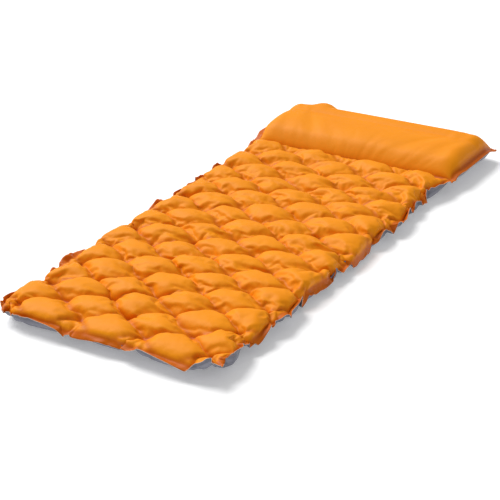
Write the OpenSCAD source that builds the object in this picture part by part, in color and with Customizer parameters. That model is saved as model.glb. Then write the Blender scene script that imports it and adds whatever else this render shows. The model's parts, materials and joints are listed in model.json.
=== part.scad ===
// Inflatable sleeping pad with a built-in pillow.
// Two coated sheets are welded face to face round the edge and at a pattern of points,
// so the air between them stands up as staggered rows of puffs. A flat two-lid valve
// sits on the rear slope of the pillow.
// Frame: X across the pad, +Y toward the pillow, +Z up, origin on the floor at the pad's middle.

/* [Pad] */
// Length of the inflated pad, foot edge to head edge
pad_length = 1830; // [1500:10:2000]
// Width of the inflated pad over its welded edges
pad_width = 770; // [560:10:900]
// Height of the quilted part
quilt_h = 75; // [60:1:95]
// Width of the welded edge all round
edge_w = 13; // [8:1:20]
// Thickness that each sheet is drawn with
sheet_t = 1; // [0.6:0.1:1.5]

/* [Quilting] */
// Width of one diamond cell, across the pad
cell_w = 201.4; // [170:0.2:240]
// Length of one diamond cell, along the pad
cell_l = 140.6; // [125:0.2:170]
// How far neighbouring puffs run into each other, which leaves the air a way through
puff_overlap = 4.7; // [2:0.1:8]
// How deep the load presses each puff flat on the floor
foot_press = 3; // [1:0.5:6]

/* [Pillow] */
// Height of the pillow
pillow_h = 110; // [95:1:140]
// Distance from the pillow's seam to the head edge
pillow_l = 357; // [300:1:420]
// Width of the weld between the quilting and the pillow
seam_w = 15; // [8:1:20]
// Radius of the gaps in that weld that let the air through
seam_gap_r = 15; // [8:1:20]
// Distance from the tie inside the pillow to the head edge
rear_lobe_l = 140; // [130:1:180]
// How far the tie pulls the pillow's top below its crest
trough_drop = 12.6; // [6:0.2:20]
// Width of the tie's welded tabs
tie_tab_w = 10; // [6:1:14]
// Gap at each end of the tie, for the air to pass
tie_gap = 75; // [40:1:120]

/* [Valve base] */
// Distance from the pad's side to the middle of the valve
valve_inset = 135; // [110:5:250]
// Angle of the valve above the horizontal
valve_tilt = 20; // [20:1:35]
// Radius of the large port that empties the pad
port_r = 15; // [13:0.5:18]
// Width of the seat round the large port
seat_w = 6; // [5:0.5:8]
// Height of the seat above the sheet
seat_h = 6; // [5:0.5:8]
// Width of the flange that is welded to the sheet round the seat
flange_w = 10; // [8:0.5:12]
// Thickness of the welded flange
flange_t = 1.2; // [0.8:0.1:2]

/* [Lid] */
// Thickness of the lid
lid_t = 2.5; // [2:0.1:3.5]
// Depth that the lid's plug reaches into the large port
plug_depth = 3.8; // [3:0.1:4.5]
// Radius of the small port that fills the pad
fill_r = 8; // [6.5:0.5:8.5]
// Depth of the small port, from its rim to its shoulder
fill_depth = 6.6; // [5:0.1:8]
// How far the one-way flap lifts off its shoulder
flap_travel = 1.5; // [1:0.1:2.5]
// Height of the small port's rim above the lid
rim_h = 1.2; // [0.8:0.1:2]
// Radius of the lid's hinge stubs
lid_pin_r = 1.2; // [1:0.1:1.5]

/* [Cap] */
// Width of the cap's skirt round the small port's rim
skirt_w = 1.5; // [1:0.1:2]
// Thickness of the cap
cap_t = 1.8; // [1.4:0.1:2.5]
// Radius of the cap's hinge stubs
cap_pin_r = 0.8; // [0.7:0.1:1]

/* [Clearances] */
// Gap between parts that open and shut on each other
lift_gap = 0.3; // [0.2:0.05:0.5]
// Gap round a plug in its port
plug_gap = 0.5; // [0.4:0.1:0.8]
// Gap between a face and the seal or flap that shuts on it
seal_gap = 0.1; // [0.05:0.01:0.15]
// Gap round the one-way flap, and between the cap's skirt and the small port
loose_gap = 0.7; // [0.5:0.1:1]
// Gap round a hinge stub in its lug
pin_gap = 0.05; // [0.02:0.01:0.1]

/* [Hidden] */
$fn = 64;

// Heights and edges of the pad
mid_z = quilt_h / 2;
foot_y = -pad_length / 2;
head_y = pad_length / 2;
side_x = pad_width / 2;
seam_y = head_y - pillow_l;
far = 2 * (pad_length + pad_width);

// Quilting: rows run from the foot edge, columns from the middle
half_w = cell_w / 2;
half_l = cell_l / 2;
rows = round((seam_y - foot_y) / half_l);
cols = ceil(side_x / half_w);
puff_r = norm([half_w, half_l]) / 2 + puff_overlap;
bottom_rise = mid_z + foot_press;
seam_gap_cols = 2;

// Pillow: two lobes side by side with the tie's trough between them
lobe_r = pillow_h / 2;
lobe_reach = sqrt(pow(lobe_r, 2) - pow(lobe_r - mid_z, 2));
trough_z = pillow_h - trough_drop;
trough_reach = sqrt(pow(lobe_r, 2) - pow(trough_z - lobe_r, 2));
tie_y = head_y - rear_lobe_l;
front_lobe = [seam_y + seam_w / 2 + lobe_reach, tie_y - tie_tab_w / 2 - trough_reach];
rear_lobe = [tie_y + tie_tab_w / 2 + trough_reach, head_y - edge_w - lobe_reach];
lobe_end_x = side_x - edge_w - lobe_reach;

// The rear slope is flat over the valve's flange
valve_x = valve_inset - side_x;
seat_r = port_r + seat_w;
flange_r = seat_r + flange_w;
slope_margin = 1.5;
slope_d = sqrt(pow(lobe_r, 2) - pow(flange_r + slope_margin, 2));
patch_w = 8;

// Lid: heights above the sheet, hinge line, seal and grip tab
wall = 1.8;
lid_edge = 0.5;
lid_r = seat_r - lid_edge;
lid_z = seat_h + lift_gap;
lid_top = lid_z + lid_t;
plug_z = lid_z - plug_depth;
plug_r = port_r - plug_gap;
lug_r = 2.4;
lug_t = 3;
lug_x = 8;
lug_set_off = 0.6;
lid_pin_y = -(seat_r + lug_r + lug_set_off);
lid_pin_z = lid_z + lid_t / 2;
seal_r = port_r + seat_w / 2;
seal_w = 2;
seal_depth = 1;
tab_w = 14;
tab_l = 3.5;

// Small port: rim, shoulder, one-way flap and the cage that holds the flap
fill_rim_r = fill_r + wall;
rim_top = lid_top + rim_h;
shoulder_w = 1.4;
shoulder_t = 1;
shoulder_z = rim_top - fill_depth;
flap_t = 0.6;
flap_z = shoulder_z - shoulder_t - seal_gap - flap_t;
cage_t = 1;
skirt_wall = 1;
cage_r = fill_rim_r - skirt_wall;
cage_z = flap_z - flap_travel - seal_gap - cage_t;
flap_r = cage_r - loose_gap;
rib_w = 1.4;
hub_r = 2.2;
cage_rim_w = 1;

// Cap: heights above the sheet, hinge line, seal and grip tab
cap_r = fill_rim_r + loose_gap + skirt_w;
cap_lift = 0.5;
cap_z = rim_top + cap_lift;
skirt_z = lid_top + loose_gap;
cap_seal_t = 0.8;
seal_inset = 0.2;
cap_seal_z = rim_top + seal_gap;
cap_seal_w = 1.4;
cap_seal_r = fill_r + seal_inset;
cap_lug_r = 1.6;
cap_lug_t = 2;
cap_lug_x = 4.5;
cap_set_off = 0.5;
cap_pin_y = -(cap_r + cap_lug_r + cap_set_off);
cap_pin_z = cap_z + cap_t / 2;
cap_tab_w = 7;
cap_tab_l = 2.5;

// A cut that passes clean through a face runs this far past it
past = 1;

// Half of space above or below the sheets' meeting plane, as a block to cut with
module half_space(up) {
    translate([-far / 2, -far / 2, up ? mid_z : mid_z - far]) cube(far);
}

// Block along the pad between two Y values
module y_range(y0, y1) {
    translate([-far / 2, y0, -far / 2]) cube([far, y1 - y0, far]);
}

// Air space of the quilting, grown by a skin; rise is the height of a puff
module quilt_air(skin, rise, up) {
    ball_r = (pow(puff_r, 2) + pow(rise, 2)) / (2 * rise);
    ball_z = mid_z + (up ? 1 : -1) * (rise - ball_r);
    inset = edge_w + sheet_t - skin;
    intersection() {
        for (row = [0 : rows], col = [-cols : cols])
            if ((row + col) % 2 != 0)
                translate([col * half_w, foot_y + row * half_l, ball_z])
                    sphere(r = ball_r - sheet_t + skin);
        translate([-side_x + inset, foot_y + inset, 0])
            cube([
                2 * (side_x - inset),
                seam_y - seam_w / 2 - sheet_t + skin - foot_y - inset,
                pillow_h
            ]);
    }
}

// Gaps in the pillow's seam, each between a puff of the last row and the pillow
module seam_air(skin) {
    gap_l = 2 * seam_w + lobe_reach;
    for (col = [-seam_gap_cols : seam_gap_cols])
        if ((rows + col) % 2 != 0)
            translate([col * half_w, seam_y - seam_w, mid_z])
                rotate([-90, 0, 0]) cylinder(r = seam_gap_r - sheet_t + skin, h = gap_l);
}

// A row of air with round ends, as a flat outline from one centre to the other
module lobe(from, to, r) {
    translate([from, lobe_r]) circle(r);
    translate([to, lobe_r]) circle(r);
    translate([from, lobe_r - r]) square([to - from, 2 * r]);
}

// Air space of the pillow, grown by a skin
module pillow_air(skin) {
    r = lobe_r - sheet_t + skin;
    land_h = 2 * (trough_z - lobe_r - sheet_t + skin);
    intersection() {
        translate([-side_x, 0, 0]) rotate([90, 0, 90]) linear_extrude(pad_width)
            intersection() {
                union() {
                    lobe(front_lobe[0], front_lobe[1], r);
                    lobe(rear_lobe[0], rear_lobe[1], r);
                    translate([tie_y - trough_reach, lobe_r - land_h / 2])
                        square([2 * trough_reach, land_h]);
                }
                translate([rear_lobe[1], lobe_r]) rotate(valve_tilt)
                    translate([-far, -far / 2]) square([far + slope_d - sheet_t + skin, far]);
            }
        translate([0, head_y, 0]) rotate([90, 0, 0]) linear_extrude(pillow_l)
            lobe(-lobe_end_x, lobe_end_x, r);
    }
}

// Carries a piece from its own flat drawing to the valve's place on the rear slope
module at_valve() {
    translate([
        valve_x,
        rear_lobe[1] + slope_d * cos(valve_tilt),
        lobe_r + slope_d * sin(valve_tilt)
    ])
        rotate([valve_tilt - 90, 0, 0]) children();
}

// Plain ring with a flat top and bottom
module ring(outer, inner, h) {
    difference() {
        cylinder(r = outer, h = h);
        translate([0, 0, -past]) cylinder(r = inner, h = h + 2 * past);
    }
}

// Bar along X with its middle over the origin
module bar_x(r, length) {
    translate([-length / 2, 0, 0]) rotate([0, 90, 0]) cylinder(r = r, h = length);
}

// Quilted upper sheet, from the foot edge to the pillow's seam
module top_sheet() {
    color("darkorange") difference() {
        union() {
            intersection() {
                union() {
                    quilt_air(sheet_t, mid_z, true);
                    seam_air(sheet_t);
                }
                half_space(true);
                y_range(foot_y, seam_y);
            }
            translate([-side_x, foot_y, mid_z]) cube([pad_width, seam_y - foot_y, sheet_t]);
        }
        quilt_air(0, mid_z, true);
        seam_air(0);
    }
}

// Smooth panel over the pillow, with the valve's hole in its rear slope
module pillow_panel() {
    color("orange") difference() {
        union() {
            intersection() {
                union() {
                    pillow_air(sheet_t);
                    seam_air(sheet_t);
                }
                half_space(true);
                y_range(seam_y, head_y);
            }
            translate([-side_x, seam_y, mid_z]) cube([pad_width, pillow_l, sheet_t]);
        }
        pillow_air(0);
        seam_air(0);
        at_valve() translate([0, 0, -lobe_r / 2]) cylinder(r = port_r, h = lobe_r);
    }
}

// Lower sheet, full length, with the puffs pressed flat where they stand
module bottom_sheet() {
    color("slategray") difference() {
        union() {
            intersection() {
                union() {
                    quilt_air(sheet_t, bottom_rise, false);
                    seam_air(sheet_t);
                    pillow_air(sheet_t);
                }
                half_space(false);
            }
            translate([-side_x, foot_y, mid_z - sheet_t]) cube([pad_width, pad_length, sheet_t]);
        }
        intersection() {
            quilt_air(0, bottom_rise, false);
            translate([-far / 2, -far / 2, sheet_t]) cube(far);
        }
        seam_air(0);
        pillow_air(0);
    }
}

// Strip inside the pillow that holds its top and bottom together
module pillow_tie() {
    tie_l = pad_width - 2 * (edge_w + tie_gap);
    low_z = pillow_h - trough_z + sheet_t;
    high_z = trough_z - sheet_t;
    color("dimgray") {
        translate([-tie_l / 2, tie_y - sheet_t / 2, low_z])
            cube([tie_l, sheet_t, high_z - low_z]);
        for (z = [low_z, high_z - sheet_t])
            translate([-tie_l / 2, tie_y - tie_tab_w / 2, z]) cube([tie_l, tie_tab_w, sheet_t]);
    }
}

// Stiffening ring welded to the inside of the panel, behind the valve
module valve_patch() {
    color("dimgray") at_valve() translate([0, 0, -2 * sheet_t])
        ring(port_r + patch_w, port_r, sheet_t);
}

// Moulded base: welded flange, seat and the lid's hinge lugs
module valve_base() {
    color("darkslategray") at_valve() difference() {
        union() {
            cylinder(r = flange_r, h = flange_t);
            cylinder(r = seat_r, h = seat_h);
            for (side = [-1, 1])
                translate([side * (lug_x + lug_t / 2), lid_pin_y, 0])
                    lug(lug_r, lug_t, 0, lid_pin_z);
        }
        translate([0, 0, -past]) cylinder(r = port_r, h = seat_h + 2 * past);
        translate([0, 0, seat_h - seal_depth])
            ring(seal_r + seal_w / 2, seal_r - seal_w / 2, seal_depth + past);
        translate([0, lid_pin_y, lid_pin_z])
            bar_x(lid_pin_r + pin_gap, 2 * (lug_x + lug_t + past));
    }
}

// Upright ear with a round top, from one height to the centre of its round
module lug(r, thick, low_z, pin_z) {
    translate([0, 0, pin_z]) bar_x(r, thick);
    translate([-thick / 2, -r, low_z]) cube([thick, 2 * r, pin_z - low_z]);
}

// Soft ring in the seat's groove that the lid shuts on
module lid_seal() {
    color("black") at_valve() translate([0, 0, seat_h - seal_depth])
        ring(seal_r + seal_w / 2, seal_r - seal_w / 2, seal_depth + lift_gap - seal_gap);
}

// Lid of the large port, which holds the small port and the cap's lugs
module deflate_lid() {
    arm_w = 2 * (lug_x - lift_gap);
    color("gray") at_valve() difference() {
        union() {
            translate([0, 0, lid_z]) cylinder(r = lid_r, h = lid_t);
            translate([0, 0, plug_z]) ring(plug_r, plug_r - wall, plug_depth + lid_t / 2);
            translate([0, 0, cage_z]) cylinder(r = fill_rim_r, h = rim_top - cage_z);
            translate([0, lid_pin_y, lid_pin_z]) bar_x(lid_t / 2, arm_w);
            translate([-arm_w / 2, lid_pin_y, lid_z])
                cube([arm_w, wall - lid_pin_y - lid_r, lid_t]);
            translate([0, lid_pin_y, lid_pin_z]) bar_x(lid_pin_r, 2 * (lug_x + lug_t));
            translate([-tab_w / 2, lid_r - wall, lid_z]) cube([tab_w, tab_l + wall, lid_t]);
            for (side = [-1, 1])
                translate([side * (cap_lug_x + cap_lug_t / 2), cap_pin_y, 0])
                    lug(cap_lug_r, cap_lug_t, lid_z, cap_pin_z);
        }
        translate([0, 0, shoulder_z]) cylinder(r = fill_r, h = fill_depth + past);
        translate([0, 0, cage_z]) cylinder(r = fill_r - shoulder_w, h = rim_top - cage_z);
        translate([0, 0, cage_z - past])
            cylinder(r = cage_r, h = shoulder_z - shoulder_t - cage_z + past);
        translate([0, cap_pin_y, cap_pin_z])
            bar_x(cap_pin_r + pin_gap, 2 * (cap_lug_x + cap_lug_t + past));
    }
}

// One-way flap: a soft disc that air lifts off the shoulder on its way in
module check_flap() {
    color("white") at_valve() translate([0, 0, flap_z]) cylinder(r = flap_r, h = flap_t);
}

// Snap-in ring with a hub and three ribs that keeps the flap in the small port
module flap_cage() {
    color("dimgray") at_valve() translate([0, 0, cage_z]) {
        ring(cage_r, cage_r - cage_rim_w, cage_t);
        cylinder(r = hub_r, h = cage_t);
        for (turn = [0 : 120 : 240])
            rotate(turn) translate([-rib_w / 2, 0, 0])
                cube([rib_w, cage_r - cage_rim_w / 2, cage_t]);
    }
}

// Cap over the small port, with its skirt, grip tab and hinge stubs
module inflate_cap() {
    arm_w = 2 * (cap_lug_x - lift_gap);
    color("gray") at_valve() difference() {
        union() {
            translate([0, 0, cap_z]) cylinder(r = cap_r, h = cap_t);
            translate([0, 0, skirt_z]) ring(cap_r, cap_r - skirt_w, cap_z + cap_t / 2 - skirt_z);
            translate([0, cap_pin_y, cap_pin_z]) bar_x(cap_t / 2, arm_w);
            translate([-arm_w / 2, cap_pin_y, cap_z])
                cube([arm_w, wall - cap_pin_y - cap_r, cap_t]);
            translate([0, cap_pin_y, cap_pin_z]) bar_x(cap_pin_r, 2 * (cap_lug_x + cap_lug_t));
            translate([-cap_tab_w / 2, cap_r - wall, cap_z])
                cube([cap_tab_w, cap_tab_l + wall, cap_t]);
        }
        translate([0, 0, cap_seal_z]) ring(cap_seal_r + cap_seal_w, cap_seal_r, cap_seal_t);
    }
}

// Soft ring in the cap's groove that shuts on the small port's rim
module cap_seal() {
    color("black") at_valve() translate([0, 0, cap_seal_z])
        ring(cap_seal_r + cap_seal_w, cap_seal_r, cap_seal_t);
}

top_sheet();
pillow_panel();
bottom_sheet();
pillow_tie();
valve_patch();
valve_base();
lid_seal();
deflate_lid();
check_flap();
flap_cage();
inflate_cap();
cap_seal();
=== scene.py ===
import json
import math

import bpy
import numpy as np
from mathutils import Euler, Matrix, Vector
from mathutils.kdtree import KDTree


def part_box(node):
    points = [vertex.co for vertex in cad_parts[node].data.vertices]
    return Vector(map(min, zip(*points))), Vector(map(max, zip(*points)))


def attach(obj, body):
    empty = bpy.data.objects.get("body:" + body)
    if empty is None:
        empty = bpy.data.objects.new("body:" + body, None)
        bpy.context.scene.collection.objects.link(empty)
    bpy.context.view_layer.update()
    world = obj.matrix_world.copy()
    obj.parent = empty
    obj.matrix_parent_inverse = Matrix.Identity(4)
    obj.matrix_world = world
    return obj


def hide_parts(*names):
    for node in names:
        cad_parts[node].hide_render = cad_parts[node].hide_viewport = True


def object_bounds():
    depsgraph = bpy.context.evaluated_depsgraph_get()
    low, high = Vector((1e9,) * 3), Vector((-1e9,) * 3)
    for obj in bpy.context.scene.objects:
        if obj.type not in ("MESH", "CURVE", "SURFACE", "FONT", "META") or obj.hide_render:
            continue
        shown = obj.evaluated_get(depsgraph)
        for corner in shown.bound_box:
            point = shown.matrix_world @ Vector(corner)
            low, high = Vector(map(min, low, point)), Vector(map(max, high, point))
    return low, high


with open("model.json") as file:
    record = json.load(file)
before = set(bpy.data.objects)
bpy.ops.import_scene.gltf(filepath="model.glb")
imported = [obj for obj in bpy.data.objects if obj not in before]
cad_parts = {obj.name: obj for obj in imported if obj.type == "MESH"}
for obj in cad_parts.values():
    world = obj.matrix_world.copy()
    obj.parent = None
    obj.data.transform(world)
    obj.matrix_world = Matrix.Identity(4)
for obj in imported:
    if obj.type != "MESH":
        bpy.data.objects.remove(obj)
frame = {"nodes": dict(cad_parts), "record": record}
cad_low, cad_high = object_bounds()
bpy.ops.object.select_all(action="DESELECT")


# ---- The cut sheets -------------------------------------------------------------------
# Two sheets of coated nylon laminate, orange above and grey below, are cut to one size.
# Inflating the quilting draws the cloth in, so they are cut longer and wider than the pad.
# The upper one is handled as two panels here, the quilted one and the pillow's.
foot_y = cad_low.y
head_y = cad_high.y
seam_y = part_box("pillow_panel")[0].y
cell_x = 0.1007           # half the width of one diamond cell of the quilting
cell_y = 0.0703           # half its length
steps_x = 14              # grid lines in half a cell
steps_y = 10
slack_x = 1.15            # cut size over drawn-in size, across and along
slack_y = 1.3
weld_w = 0.019            # welded edge
weld_step = weld_w / 2
quilt_half_w = 0.36       # from the middle to the inner side of the welded edge
pillow_half_w = 0.374
lobe_half_h = 0.051       # half the height of the pillow's two lobes
tie_half_h = 0.0425       # half the height of the tie between them
front_lobe_l = 0.212
rear_lobe_l = 0.124

grid_x = cell_x / steps_x
grid_y = cell_y / steps_y
side_steps = round(quilt_half_w / grid_x)
across = np.arange(-side_steps, side_steps + 1)


def add_side_welds(line):
    """The welded edge adds two grid lines at each end of a row."""
    low, high = line[0], line[-1]
    return np.array([low - weld_w, low - weld_step, *line, high + weld_step, high + weld_w])


quilt_x = add_side_welds(across * grid_x)
pillow_x = add_side_welds(across * grid_x * pillow_half_w / quilt_half_w)
cut_quilt_x = add_side_welds(across * grid_x * slack_x)

# Each row: its kind, its y and z on the drawn-in pad, and its distance from the foot on the cut
row_kind, row_y, row_z, row_cut = [], [], [], []


def add_row(kind, y, z, cloth):
    """One row of the sheets, a given length of cloth after the last one."""
    row_kind.append(kind)
    row_y.append(y)
    row_z.append(z)
    row_cut.append(row_cut[-1] + cloth if row_cut else 0)


def add_lobe(middle_y, half_l, start, end):
    """Rows over one lobe of the pillow, evenly spaced along a part of an ellipse."""
    angle = np.linspace(start, end, 400)
    y = middle_y + half_l * np.cos(angle)
    z = lobe_half_h * np.sin(angle)
    along = np.concatenate([[0], np.cumsum(np.hypot(np.diff(y), np.diff(z)))])
    count = round(along[-1] / (1.1 * grid_y))
    for place in np.linspace(0, along[-1], count + 1)[1:]:
        add_row("pillow", np.interp(place, along, y), np.interp(place, along, z), along[-1] / count)


add_row("edge", foot_y, 0, 0)
add_row("edge", foot_y + weld_step, 0, weld_step)
first_step = math.ceil(weld_w / grid_y - 0.5)
last_step = round((seam_y - weld_step - foot_y) / grid_y)
for step in range(first_step, last_step + 1):
    kind = "edge" if step == first_step else "seam" if step == last_step else "quilt"
    add_row(kind, foot_y + step * grid_y, 0, weld_step if step == first_step else grid_y * slack_y)
seam_row = len(row_y)
add_row("seam", row_y[-1] + weld_step, 0, weld_step)
add_row("seam", row_y[-1] + weld_step, 0, weld_step)
tie_angle = math.asin(tie_half_h / lobe_half_h)
lobe_share = 1 + math.cos(tie_angle)
front_half_l = front_lobe_l / lobe_share
rear_half_l = rear_lobe_l / lobe_share
add_lobe(row_y[-1] + front_half_l, front_half_l, math.pi, tie_angle)
tie_row = len(row_y) - 1
add_lobe(row_y[-1] + rear_half_l * math.cos(tie_angle), rear_half_l, math.pi - tie_angle, 0)
row_kind[-1] = "head"
add_row("head", row_y[-1] + weld_step, 0, weld_step)

row_kind = np.array(row_kind)
row_y = np.array(row_y) + (head_y - row_y[-1]) * np.linspace(0, 1, len(row_y))
row_z, row_cut = np.array(row_z), np.array(row_cut)
rows, columns = len(row_y), len(quilt_x)
is_quilt = np.repeat(row_kind == "quilt", columns).reshape(rows, columns)
is_pillow = np.repeat(row_kind == "pillow", columns).reshape(rows, columns)


def lay_sheet(name, first, last, face_up):
    """A flat sheet with one grid line for each row and column, as it comes off the roll."""
    bpy.ops.object.select_all(action="DESELECT")
    bpy.ops.mesh.primitive_grid_add(x_subdivisions=columns - 1, y_subdivisions=last - first, size=1)
    sheet = bpy.context.object
    sheet.name = name
    if not face_up:
        bpy.ops.object.mode_set(mode="EDIT")
        bpy.ops.mesh.select_all(action="SELECT")
        bpy.ops.mesh.flip_normals()
        bpy.ops.object.mode_set(mode="OBJECT")
    return sheet


def move_sheet(sheet, points):
    """Puts every grid crossing of a sheet in its place."""
    sheet.data.vertices.foreach_set("co", points.astype(np.float32).ravel())
    sheet.data.update()


top_sheet = lay_sheet("quilted_top", 0, seam_row, True)
pillow_panel = lay_sheet("pillow_top", seam_row, rows - 1, True)
bottom_sheet = lay_sheet("underside", 0, rows - 1, False)


# ---- Welding --------------------------------------------------------------------------
# Hot bars weld the two sheets together round the edge, along the pillow's seam and at a
# spot on every corner of the diamond cells. A welded point is one point of both sheets.
spot_r = 0.0105
spot_drift = 0.0012       # how far a spot may sit off its corner
seed = 5
widen_l = 0.06            # past the seam, where the pad gets as wide as its pillow
unslack_l = 0.02          # past the seam, where the cloth loses its extra width
tie_end_x = 0.26
chance = np.random.default_rng(seed)

past_seam = row_y[:, None] - row_y[seam_row + 1]
spread = np.clip(past_seam / widen_l, 0, 1)
eased = np.clip(past_seam / unslack_l, 0, 1)
sheet_x = quilt_x * (1 - spread) + pillow_x * spread
flat_x = cut_quilt_x * (1 - eased) + sheet_x * eased
sheet_y = np.repeat(row_y[:, None], columns, 1)
spot_shift = np.zeros((rows, columns, 3))
welded = ~(is_quilt | is_pillow)
welded[:, :3] = True
welded[:, -3:] = True
held = np.zeros((rows, columns), bool)
spots_x = math.floor(quilt_half_w / cell_x)
spots_y = math.floor((seam_y - foot_y) / cell_y)
for spot_row in range(1, spots_y + 1):
    for spot_column in range(-spots_x, spots_x + 1):
        if (spot_row + spot_column) % 2 == 0:
            from_spot = np.hypot(
                sheet_x - spot_column * cell_x,
                sheet_y - foot_y - spot_row * cell_y,
            )
            spot = (from_spot < spot_r) & is_quilt
            held |= spot
            spot_shift[spot] = chance.normal(0, spot_drift, 3)
welded |= held
held[row_kind == "seam"] = True
held[row_kind == "head"] = True
held[:, :6] = False
held[:, -6:] = False
tie_held = np.zeros((rows, columns), bool)
tie_held[tie_row] = np.abs(pillow_x) < tie_end_x


# ---- Inflating ------------------------------------------------------------------------
# The welded bag is blown up. Its spots draw in to their places on the pad while the cloth
# between them swells and creases. The tie holds the pillow's two skins at one height.
puff_h = 0.034
puff_lift = 0.002         # the least gap between the skins beside a weld
flat_gap = 0.004          # half the gap between the skins before the air comes in
side_round = 0.05         # over which both skins close toward the sides
jitter = 0.0006           # unevenness of the flat cloth, which starts the creases
inflate_frames = 20
draw_in_frames = 9

puff = (1 - np.cos(math.pi * sheet_x / cell_x) * np.cos(math.pi * (sheet_y - foot_y) / cell_y)) / 2
to_side = np.clip((quilt_x[-3] - np.abs(quilt_x)) / side_round, 0, 1)[None, :]
round_end = np.sqrt(1 - (1 - to_side) ** 2)
drawn_z = np.where(is_quilt, puff_lift + puff_h * puff * round_end, row_z[:, None] * round_end)
drawn_z[welded] = 0
flat_y = np.where(
    (np.arange(rows) <= seam_row + 1)[:, None],
    row_y[seam_row + 1] - (row_cut[seam_row + 1] - row_cut)[:, None],
    sheet_y,
)
flat_z = np.where(is_quilt, flat_gap, drawn_z)
flat_z[welded] = 0
up = np.array([1, 1, 1])
down = np.array([1, 1, -1])
flat_top = np.stack([flat_x, flat_y, flat_z], -1)
flat_bottom = flat_top * down
drawn_top = np.stack([sheet_x, sheet_y, drawn_z], -1) + spot_shift
drawn_bottom = drawn_top * np.where(welded[..., None], up, down)

for sheet, points in (
    (top_sheet, flat_top[:seam_row + 1]),
    (pillow_panel, flat_top[seam_row:]),
    (bottom_sheet, flat_bottom),
):
    move_sheet(sheet, points)


def inflate():
    """Blows the welded bag up and gives the points of its upper and lower sheet."""
    bpy.ops.object.select_all(action="DESELECT")
    for sheet in (top_sheet, pillow_panel, bottom_sheet):
        sheet.select_set(True)
    bpy.context.view_layer.objects.active = top_sheet
    bpy.ops.object.duplicate()
    bpy.ops.object.join()
    bag = bpy.context.object
    bpy.ops.object.mode_set(mode="EDIT")
    bpy.ops.mesh.select_all(action="SELECT")
    bpy.ops.mesh.remove_doubles(threshold=0.0001)
    bpy.ops.object.mode_set(mode="OBJECT")

    tree = KDTree(len(bag.data.vertices))
    for vertex in bag.data.vertices:
        tree.insert(vertex.co, vertex.index)
    tree.balance()
    top_of = np.array([tree.find(p)[1] for p in flat_top.reshape(-1, 3)])
    top_of = top_of.reshape(rows, columns)
    bottom_of = np.array([tree.find(p)[1] for p in flat_bottom.reshape(-1, 3)])
    bottom_of = bottom_of.reshape(rows, columns)

    start = np.zeros((len(bag.data.vertices), 3))
    start[bottom_of] = flat_bottom
    start[top_of] = flat_top
    loose = np.zeros(len(start), bool)
    loose[top_of[~held]] = True
    loose[bottom_of[~held]] = True
    start[loose, 2] += chance.normal(0, jitter, loose.sum())
    bag.data.vertices.foreach_set("co", start.ravel())
    target = np.zeros_like(start)
    target[bottom_of] = drawn_bottom
    target[top_of] = drawn_top
    bag.shape_key_add(name="flat")
    drawn = bag.shape_key_add(name="drawn_in")
    drawn.data.foreach_set("co", target.ravel())
    drawn.value = 0
    drawn.keyframe_insert("value", frame=1)
    drawn.value = 1
    drawn.keyframe_insert("value", frame=draw_in_frames)

    def group(name, mask):
        """The points of both sheets under a mask, as a vertex group."""
        both = np.unique(np.concatenate([top_of[mask], bottom_of[mask]]))
        bag.vertex_groups.new(name=name).add([int(i) for i in both], 1, "REPLACE")

    flange = np.zeros((rows, columns), bool)
    flange[:2] = True
    flange[-2:] = True
    flange[:, :3] = True
    flange[:, -3:] = True
    group("air", ~flange)
    group("pillow", is_pillow)
    group("held", held | tie_held)

    cloth = bag.modifiers.new("Cloth", "CLOTH")
    fabric = cloth.settings
    fabric.quality = 6
    fabric.mass = 0.15
    fabric.air_damping = 1
    fabric.tension_stiffness = 60
    fabric.compression_stiffness = 60
    fabric.shear_stiffness = 30
    fabric.bending_stiffness = 0.006
    fabric.bending_stiffness_max = 3
    fabric.vertex_group_bending = "pillow"
    fabric.tension_damping = 8
    fabric.compression_damping = 8
    fabric.shear_damping = 8
    fabric.use_pressure = True
    fabric.uniform_pressure_force = 20
    fabric.vertex_group_pressure = "air"
    fabric.vertex_group_mass = "held"
    fabric.effector_weights.gravity = 0
    cloth.collision_settings.use_collision = False
    cloth.collision_settings.use_self_collision = False
    cloth.point_cache.frame_end = inflate_frames
    for step in range(1, inflate_frames + 1):
        bpy.context.scene.frame_set(step)
    blown = bag.evaluated_get(bpy.context.evaluated_depsgraph_get()).data
    points = np.empty(len(blown.vertices) * 3)
    blown.vertices.foreach_get("co", points)
    points = points.reshape(-1, 3)
    bpy.data.objects.remove(bag)
    bpy.context.scene.frame_set(1)
    return points[top_of], points[bottom_of]


top, bottom = inflate()


# ---- Setting down ---------------------------------------------------------------------
# The full pad lies on the floor. Its puffs press flat where they stand, folds from packing
# run along the cells' sides, and the pillow rises over the seam. The cloth lies flat under
# the valve's flange.
quilt_h = 0.075
pillow_h = cad_high.z - cad_low.z - 0.001    # less the thickness of both skins
tie_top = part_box("pillow_tie")[1].z
tie_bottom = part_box("pillow_tie")[0].z
cloth_t = 0.0006
fullness = 0.72           # below 1, the puffs stand steeper and rounder over their creases
crease_depth = 0.27       # folds pressed in along the cells' sides while the pad was packed
crease_w = 0.17
calm = 0.86               # how smooth the pillow's long skin stays between its welds
press = 1.06              # how far the puffs would reach into the floor, were it not there
floor_ease = 0.0015
floor_sink = 0.0006
top_share = 98            # per cent of a skin that is lower than its height counts
pillow_top_share = 99.5
highest = 1.3             # over the height that counts, for the odd higher puff
rise_start, rise_l = -0.01, 0.07     # from the seam, where the pad grows to the pillow's height
fall_start, fall_l = -0.09, 0.075    # from the head, where its weld comes down again
tie_reach = 0.03                     # beside the tie, where the skins are kept off it
tie_cover = 0.002
tie_end, tie_fade = 0.36, 0.05


def ease(share):
    """A soft step from 0 to 1."""
    share = np.clip(share, 0, 1)
    return share * share * (3 - 2 * share)


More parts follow.
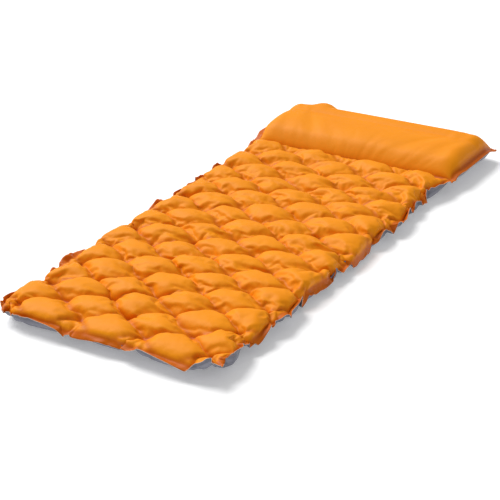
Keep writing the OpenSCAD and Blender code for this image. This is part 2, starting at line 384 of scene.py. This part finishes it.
half_turn_x = math.pi * sheet_x / cell_x / 2
half_turn_y = math.pi * (sheet_y - foot_y) / cell_y / 2
crease = np.exp(-(np.sin(half_turn_x + half_turn_y) / crease_w) ** 2)
crease_back = np.exp(-(np.sin(half_turn_x - half_turn_y) / crease_w) ** 2)
crease = np.maximum(crease, crease_back) * is_quilt
for sheet, drawn in ((top, drawn_top), (bottom, drawn_bottom)):
    full_h = np.percentile(np.abs(sheet[is_quilt, 2]), top_share)
    share = np.clip(np.abs(sheet[..., 2]) / full_h, 0, highest)
    rounder = np.sign(sheet[..., 2]) * full_h * share ** fullness * (1 - crease_depth * crease)
    sheet[..., 2] = np.where(is_quilt, rounder, sheet[..., 2])
    sheet += (drawn - sheet) * calm * is_pillow[..., None]

middle = slice(columns // 4, -columns // 4)
puffs = slice(steps_y, seam_row - steps_y)
gap = (top - bottom)[..., 2]
quilt_scale = quilt_h / np.percentile(gap[puffs, middle], top_share)
pillow_scale = pillow_h / np.percentile(gap[seam_row + 2:, middle], pillow_top_share)
for sheet in (top, bottom):
    rise = ease((sheet[..., 1] - seam_y - rise_start) / rise_l)
    fall = ease((sheet[..., 1] - head_y - fall_start) / fall_l)
    scale = quilt_scale * (1 - rise) + pillow_scale * rise
    weld_z = (quilt_h + (pillow_h - quilt_h) * rise * (1 - fall)) / 2
    sheet[..., 2] = sheet[..., 2] * scale + weld_z

over_tie = np.exp(-((row_y - row_y[tie_row]) / tie_reach) ** 2)[:, None]
over_tie = over_tie * ease((tie_end - np.abs(pillow_x)) / tie_fade)
top[..., 2] += over_tie * np.maximum(0, tie_top + tie_cover - top[tie_row, :, 2])
bottom[..., 2] += over_tie * np.minimum(0, tie_bottom - tie_cover - bottom[tie_row, :, 2])

for sheet in (top, bottom):
    above = sheet[..., 2] - quilt_h / 2
    z = quilt_h / 2 + above * np.where(above < 0, press, 1)
    z = (z + np.sqrt(z ** 2 + floor_ease ** 2)) / 2
    sheet[..., 2] = z - floor_sink
bottom[..., 2] = np.maximum(bottom[..., 2], cloth_t)
top[..., 2] = np.maximum(top[..., 2], bottom[..., 2])

port = next(m for m in frame["record"]["mounts"] if m["name"] == "pump_port")
valve_axis = np.array(port["axis"])
port_to_cloth = 0.0067
valve_foot = np.array(port["pos_m"]) - valve_axis * port_to_cloth
flange_r = 0.033
slope_r = 0.066
hole_r = 0.022
skin_reach = 0.06         # from the valve's plane to the cloth that may be moved
offset = top - valve_foot
height = offset @ valve_axis
reach = np.linalg.norm(offset - height[..., None] * valve_axis, axis=-1)
flatten = (1 - ease((reach - flange_r) / (slope_r - flange_r))) * (np.abs(height) < skin_reach)
top -= ((height + cloth_t) * flatten)[..., None] * valve_axis

move_sheet(top_sheet, top[:seam_row + 1])
move_sheet(pillow_panel, top[seam_row:])
move_sheet(bottom_sheet, bottom)


# ---- Laminate -------------------------------------------------------------------------
# Plain-woven nylon with a coated back: a fine satin weave, faint crinkles that stay from
# packing, and a paler cut edge. A weld presses the cloth smooth and a little darker, and the
# creases along the cells' sides get painted shade in the same darker tint.
thread = 0.0006
crease_shade = 0.75        # how much painted shade, in the welds' darker tint, the creases take
orange = (0.92, 0.305, 0.003, 1)
# The deep colours: the welds' darker tint, also painted into the creases as shade
deep_orange = (0.42, 0.045, 0.001, 1)
grey = (0.3, 0.3, 0.35, 1)
deep_grey = (0.12, 0.12, 0.15, 1)
edge_orange = (0.95, 0.62, 0.32, 1)
edge_grey = (0.5, 0.5, 0.54, 1)


def woven(name, colour, deep):
    """Laminate that follows its piece's cut, with its welds darker and smoother, and painted shade
    in its creases.
    """
    cloth = bpy.data.materials.new(name)
    cloth.use_nodes = True
    nodes = cloth.node_tree.nodes
    link = cloth.node_tree.links.new
    shader = nodes["Principled BSDF"]
    shader.inputs["Specular IOR Level"].default_value = 0.12
    cut = nodes.new("ShaderNodeUVMap")
    cut.uv_map = "cut"
    # Point mark: 1 on the welds, and painted shade along the creases
    weld = nodes.new("ShaderNodeAttribute")
    weld.attribute_name = "weld"
    wear = nodes.new("ShaderNodeTexNoise")
    wear.inputs["Scale"].default_value = 9
    wear.inputs["Detail"].default_value = 5
    link(cut.outputs["UV"], wear.inputs["Vector"])
    # Random uneven tint, plus the welds' darker tint and the painted shade in the creases
    wear_and_shade = nodes.new("ShaderNodeMath")
    wear_and_shade.operation = "MULTIPLY_ADD"
    wear_and_shade.inputs[1].default_value = 0.22
    link(wear.outputs["Fac"], wear_and_shade.inputs[0])
    darken = nodes.new("ShaderNodeMath")
    darken.operation = "MULTIPLY"
    darken.inputs[1].default_value = 0.62
    link(weld.outputs["Fac"], darken.inputs[0])
    link(darken.outputs["Value"], wear_and_shade.inputs[2])
    tint = nodes.new("ShaderNodeMix")
    tint.data_type = "RGBA"
    tint.inputs["A"].default_value = colour
    tint.inputs["B"].default_value = deep
    link(wear_and_shade.outputs["Value"], tint.inputs["Factor"])
    link(tint.outputs["Result"], shader.inputs["Base Color"])
    gloss = nodes.new("ShaderNodeMapRange")
    gloss.inputs["To Min"].default_value = 0.52
    gloss.inputs["To Max"].default_value = 0.4
    link(weld.outputs["Fac"], gloss.inputs["Value"])
    link(gloss.outputs["Result"], shader.inputs["Roughness"])

    crinkle = nodes.new("ShaderNodeTexNoise")
    crinkle.inputs["Scale"].default_value = 55
    crinkle.inputs["Detail"].default_value = 4
    crinkle.inputs["Distortion"].default_value = 0.8
    link(cut.outputs["UV"], crinkle.inputs["Vector"])
    soft = nodes.new("ShaderNodeBump")
    soft.inputs["Strength"].default_value = 0.35
    soft.inputs["Distance"].default_value = 0.0012
    link(crinkle.outputs["Fac"], soft.inputs["Height"])
    last = soft
    for direction in ("X", "Y"):
        yarn = nodes.new("ShaderNodeTexWave")
        yarn.bands_direction = direction
        yarn.inputs["Scale"].default_value = math.pi / (10 * thread)
        yarn.inputs["Distortion"].default_value = 0.4
        link(cut.outputs["UV"], yarn.inputs["Vector"])
        ribbed = nodes.new("ShaderNodeBump")
        ribbed.inputs["Strength"].default_value = 0.25
        ribbed.inputs["Distance"].default_value = 0.00008
        link(yarn.outputs["Fac"], ribbed.inputs["Height"])
        link(last.outputs["Normal"], ribbed.inputs["Normal"])
        last = ribbed
    link(last.outputs["Normal"], shader.inputs["Normal"])
    return cloth


def cut_edge(name, colour):
    """The edge of the cut, where the pale yarn shows."""
    edge = bpy.data.materials.new(name)
    edge.use_nodes = True
    nodes = edge.node_tree.nodes
    link = edge.node_tree.links.new
    shader = nodes["Principled BSDF"]
    shader.inputs["Roughness"].default_value = 0.8
    place = nodes.new("ShaderNodeTexCoord")
    fray = nodes.new("ShaderNodeTexNoise")
    fray.inputs["Scale"].default_value = 900
    link(place.outputs["Object"], fray.inputs["Vector"])
    tint = nodes.new("ShaderNodeValToRGB")
    tint.color_ramp.elements[0].color = [c * 0.7 for c in colour[:3]] + [1]
    tint.color_ramp.elements[1].color = colour
    link(fray.outputs["Fac"], tint.inputs["Fac"])
    link(tint.outputs["Color"], shader.inputs["Base Color"])
    return edge


orange_cloth = woven("orange_laminate", orange, deep_orange)
grey_cloth = woven("grey_laminate", grey, deep_grey)
orange_edge = cut_edge("orange_cut_edge", edge_orange)
grey_edge = cut_edge("grey_cut_edge", edge_grey)

# Welds are marked darker, and the creases get painted shade through the same mark
weld_and_shade_mark = np.where(welded, 1.0, crease * crease_shade)
for sheet, first, last, cloth, edge, cad_node in (
    (top_sheet, 0, seam_row, orange_cloth, orange_edge, "top_sheet"),
    (pillow_panel, seam_row, rows - 1, orange_cloth, orange_edge, "pillow_panel"),
    (bottom_sheet, 0, rows - 1, grey_cloth, grey_edge, "bottom_sheet"),
):
    mesh = sheet.data
    cut_points = np.stack([flat_x, np.repeat(row_cut[:, None], columns, 1)], -1)[first:last + 1]
    corner = np.empty(len(mesh.loops), int)
    mesh.loops.foreach_get("vertex_index", corner)
    mesh.uv_layers.active.name = "cut"
    mesh.uv_layers.active.uv.foreach_set("vector", cut_points.reshape(-1, 2)[corner].ravel())
    mark = mesh.attributes.new("weld", "FLOAT", "POINT")
    mark.data.foreach_set("value", weld_and_shade_mark[first:last + 1].ravel())
    mesh.materials.append(cloth)
    mesh.materials.append(edge)
    bpy.ops.object.select_all(action="DESELECT")
    sheet.select_set(True)
    bpy.context.view_layer.objects.active = sheet
    bpy.ops.object.shade_smooth()
    smooth = sheet.modifiers.new("Smooth", "SUBSURF")
    smooth.levels = 1
    smooth.render_levels = 1
    smooth.boundary_smooth = "PRESERVE_CORNERS"
    skin = sheet.modifiers.new("Thickness", "SOLIDIFY")
    skin.thickness = cloth_t
    skin.offset = 1
    skin.material_offset_rim = 1
    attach(sheet, "pad")
    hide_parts(cad_node)


# ---- Valve hole -----------------------------------------------------------------------
# The pillow's panel is punched out for the valve, after its weave and its cut are set. The
# valve's flange hides the edge of the hole.
hole_reach = 0.01         # along the valve, so that no other skin is cut
bpy.ops.object.select_all(action="DESELECT")
bpy.context.view_layer.objects.active = pillow_panel
bpy.ops.object.mode_set(mode="EDIT")
bpy.ops.mesh.select_all(action="DESELECT")
bpy.ops.object.mode_set(mode="OBJECT")
for face in pillow_panel.data.polygons:
    from_foot = np.array(face.center) - valve_foot
    along = from_foot @ valve_axis
    from_axis = np.linalg.norm(from_foot - along * valve_axis)
    face.select = bool(from_axis < hole_r and abs(along) < hole_reach)
bpy.ops.object.mode_set(mode="EDIT")
bpy.ops.mesh.delete(type="FACE")
bpy.ops.object.mode_set(mode="OBJECT")


# ---- Pillow tie -----------------------------------------------------------------------
# A strip of coated film inside the pillow, welded to both skins, keeps it from swelling to
# a tube. It is pulled tight between them and waves a little.
tie_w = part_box("pillow_tie")[1].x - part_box("pillow_tie")[0].x
film_t = 0.0004
film_rows = 9
film_bow = 0.002
film_waves = 40           # radians of wave in a metre of its length
in_tie = np.abs(sheet_x[tie_row]) < tie_w / 2
tie_low, tie_high = bottom[tie_row, in_tie], top[tie_row, in_tie]
bpy.ops.object.select_all(action="DESELECT")
film_columns = in_tie.sum()
bpy.ops.mesh.primitive_grid_add(
    x_subdivisions=film_columns - 1,
    y_subdivisions=film_rows - 1,
    size=1,
)
tie = bpy.context.object
tie.name = "tie_film"
up_share = np.linspace(0, 1, film_rows)[:, None, None]
film = tie_low + (tie_high - tie_low) * up_share
film[..., 2] += cloth_t * (1 - 2 * up_share[..., 0])
film[..., 1] += film_bow * np.sin(math.pi * up_share[..., 0]) * np.sin(film[..., 0] * film_waves)
move_sheet(tie, film)
skin = tie.modifiers.new("Thickness", "SOLIDIFY")
skin.thickness = film_t
skin.offset = 0


def moulding(name, colour, roughness, grain, wear):
    """A moulded or cast finish: a fine tool grain, uneven tint and edges rubbed paler."""
    finish = bpy.data.materials.new(name)
    finish.use_nodes = True
    nodes = finish.node_tree.nodes
    link = finish.node_tree.links.new
    shader = nodes["Principled BSDF"]
    place = nodes.new("ShaderNodeTexCoord")
    blotch = nodes.new("ShaderNodeTexNoise")
    blotch.inputs["Scale"].default_value = 120
    blotch.inputs["Detail"].default_value = 4
    link(place.outputs["Object"], blotch.inputs["Vector"])
    tint = nodes.new("ShaderNodeValToRGB")
    tint.color_ramp.elements[0].position = 0.3
    tint.color_ramp.elements[0].color = [c * 0.8 for c in colour] + [1]
    tint.color_ramp.elements[1].position = 0.7
    tint.color_ramp.elements[1].color = [c * 1.15 for c in colour] + [1]
    link(blotch.outputs["Fac"], tint.inputs["Fac"])
    shape = nodes.new("ShaderNodeNewGeometry")
    rubbed = nodes.new("ShaderNodeMapRange")
    rubbed.inputs["From Min"].default_value = 0.52
    rubbed.inputs["From Max"].default_value = 0.62
    rubbed.inputs["To Max"].default_value = wear
    link(shape.outputs["Pointiness"], rubbed.inputs["Value"])
    worn = nodes.new("ShaderNodeMix")
    worn.data_type = "RGBA"
    worn.inputs["B"].default_value = [min(1, c * 1.8 + 0.05) for c in colour] + [1]
    link(rubbed.outputs["Result"], worn.inputs["Factor"])
    link(tint.outputs["Color"], worn.inputs["A"])
    link(worn.outputs["Result"], shader.inputs["Base Color"])
    polish = nodes.new("ShaderNodeMapRange")
    polish.inputs["To Min"].default_value = roughness - 0.07
    polish.inputs["To Max"].default_value = roughness + 0.07
    link(blotch.outputs["Fac"], polish.inputs["Value"])
    link(polish.outputs["Result"], shader.inputs["Roughness"])
    pitted = nodes.new("ShaderNodeTexNoise")
    pitted.inputs["Scale"].default_value = 2600
    pitted.inputs["Detail"].default_value = 2
    link(place.outputs["Object"], pitted.inputs["Vector"])
    rough = nodes.new("ShaderNodeBump")
    rough.inputs["Strength"].default_value = grain
    rough.inputs["Distance"].default_value = 0.0001
    link(pitted.outputs["Fac"], rough.inputs["Height"])
    link(rough.outputs["Normal"], shader.inputs["Normal"])
    return finish


film_finish = moulding("coated_film", (0.06, 0.06, 0.065), 0.45, 0.2, 0)
tie.data.materials.append(film_finish)
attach(tie, "pad")
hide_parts("pillow_tie")


# ---- Valve patch ----------------------------------------------------------------------
# A ring of thicker coated film, punched out and welded behind the panel's hole, so that
# the pull of the valve doesn't tear the cloth.
def moulded(node, name, body, finish, edge_round):
    """A piece on its node's shape, with its doubles merged and its sharp edges rounded."""
    bpy.ops.object.select_all(action="DESELECT")
    piece = bpy.data.objects.new(name, frame["nodes"][node].data.copy())
    bpy.context.scene.collection.objects.link(piece)
    piece.select_set(True)
    bpy.context.view_layer.objects.active = piece
    bpy.ops.object.mode_set(mode="EDIT")
    bpy.ops.mesh.select_all(action="SELECT")
    bpy.ops.mesh.remove_doubles(threshold=0.000001)
    bpy.ops.mesh.dissolve_limited(angle_limit=math.radians(0.5))
    bpy.ops.object.mode_set(mode="OBJECT")
    rounding = piece.modifiers.new("Rounding", "BEVEL")
    rounding.width = edge_round
    rounding.segments = 2
    rounding.limit_method = "ANGLE"
    rounding.angle_limit = math.radians(50)
    bpy.ops.object.modifier_apply(modifier="Rounding")
    bpy.ops.object.shade_smooth_by_angle(angle=math.radians(40))
    piece.data.materials.clear()
    piece.data.materials.append(finish)
    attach(piece, body)
    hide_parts(node)


moulded("valve_patch", "patch_film", "pad", film_finish, 0.0002)


# ---- Valve base -----------------------------------------------------------------------
# Soft moulded plastic, so that its thin flange bends with the cloth that it is welded to.
# The raised seat has a groove for the seal and two ears for the lid's hinge stubs.
soft_finish = moulding("soft_black_plastic", (0.03, 0.03, 0.033), 0.5, 0.35, 0.25)
moulded("valve_base", "base_moulding", "pad", soft_finish, 0.0003)


# ---- Lid seal -------------------------------------------------------------------------
# A ring cut from a smooth black rubber tube, pressed into the seat's groove.
rubber_finish = moulding("smooth_rubber", (0.015, 0.015, 0.016), 0.38, 0.08, 0)
moulded("lid_seal", "lid_ring", "pad", rubber_finish, 0.0002)


# ---- Deflating lid --------------------------------------------------------------------
# Hard moulded plastic with a spark-eroded grain. It snaps into the base by its skirt and
# holds the small port. A thumb lifts it by the tab.
lid_finish = moulding("grained_grey_plastic", (0.085, 0.085, 0.095), 0.48, 0.5, 0.35)
moulded("deflate_lid", "lid_moulding", "lid", lid_finish, 0.0002)


# ---- Flap and cage --------------------------------------------------------------------
# A thin cast silicone disc shuts the small port from inside, and a snapped-in moulding
# with three ribs keeps it there.
silicone_finish = moulding("milky_silicone", (0.72, 0.72, 0.69), 0.35, 0.05, 0)
silicone_finish.node_tree.nodes["Principled BSDF"].inputs["Subsurface Weight"].default_value = 0.3
silicone_finish.node_tree.nodes["Principled BSDF"].inputs["Subsurface Scale"].default_value = 0.001
moulded("check_flap", "flap_disc", "flap", silicone_finish, 0.00015)
moulded("flap_cage", "cage_moulding", "lid", lid_finish, 0.00015)


# ---- Inflating cap --------------------------------------------------------------------
# The same hard plastic. It turns on two stubs in the lid's ears and shuts over the small
# port's rim on its own rubber ring.
moulded("inflate_cap", "cap_moulding", "cap", lid_finish, 0.0002)
moulded("cap_seal", "cap_ring", "cap", rubber_finish, 0.00015)


# ---- Studio ---------------------------------------------------------------------------
# A plain white floor under an even white sky, with a broad soft window behind the pad's
# left side. The camera stands off the pad's near right corner and looks down along it.
floor_size = 40
bpy.ops.object.select_all(action="DESELECT")
bpy.ops.mesh.primitive_plane_add(size=floor_size, location=(0, 0, 0))
floor = bpy.context.object
floor.name = "floor"
paper = bpy.data.materials.new("paper")
paper.use_nodes = True
paper.node_tree.nodes["Principled BSDF"].inputs["Base Color"].default_value = (0.92, 0.92, 0.92, 1)
paper.node_tree.nodes["Principled BSDF"].inputs["Roughness"].default_value = 0.9
paper.node_tree.nodes["Principled BSDF"].inputs["Emission Color"].default_value = (1, 1, 1, 1)
paper.node_tree.nodes["Principled BSDF"].inputs["Emission Strength"].default_value = 0.22
floor.data.materials.append(paper)

sky = bpy.data.worlds.new("sky")
sky.use_nodes = True
sky.node_tree.nodes["Background"].inputs["Color"].default_value = (1, 1, 1, 1)
sky.node_tree.nodes["Background"].inputs["Strength"].default_value = 0.4
bpy.context.scene.world = sky

window = bpy.data.lights.new("window", "SUN")
window.energy = 3.2
window.angle = math.radians(42)
window_place = Vector((-0.62, 0.2, 0.78))
window_holder = bpy.data.objects.new("window", window)
window_holder.rotation_euler = (-window_place).to_track_quat("-Z", "Y").to_euler()
bpy.context.scene.collection.objects.link(window_holder)

lens = bpy.data.cameras.new("camera")
lens.lens = 105
lens.sensor_width = 36
camera = bpy.data.objects.new("camera", lens)
camera.location = (1.977, -3.587, 1.821)
camera.rotation_euler = Euler((math.radians(65.25), 0, math.radians(29.7)))
bpy.context.scene.collection.objects.link(camera)
bpy.context.scene.camera = camera
bpy.context.scene.view_settings.view_transform = "Standard"
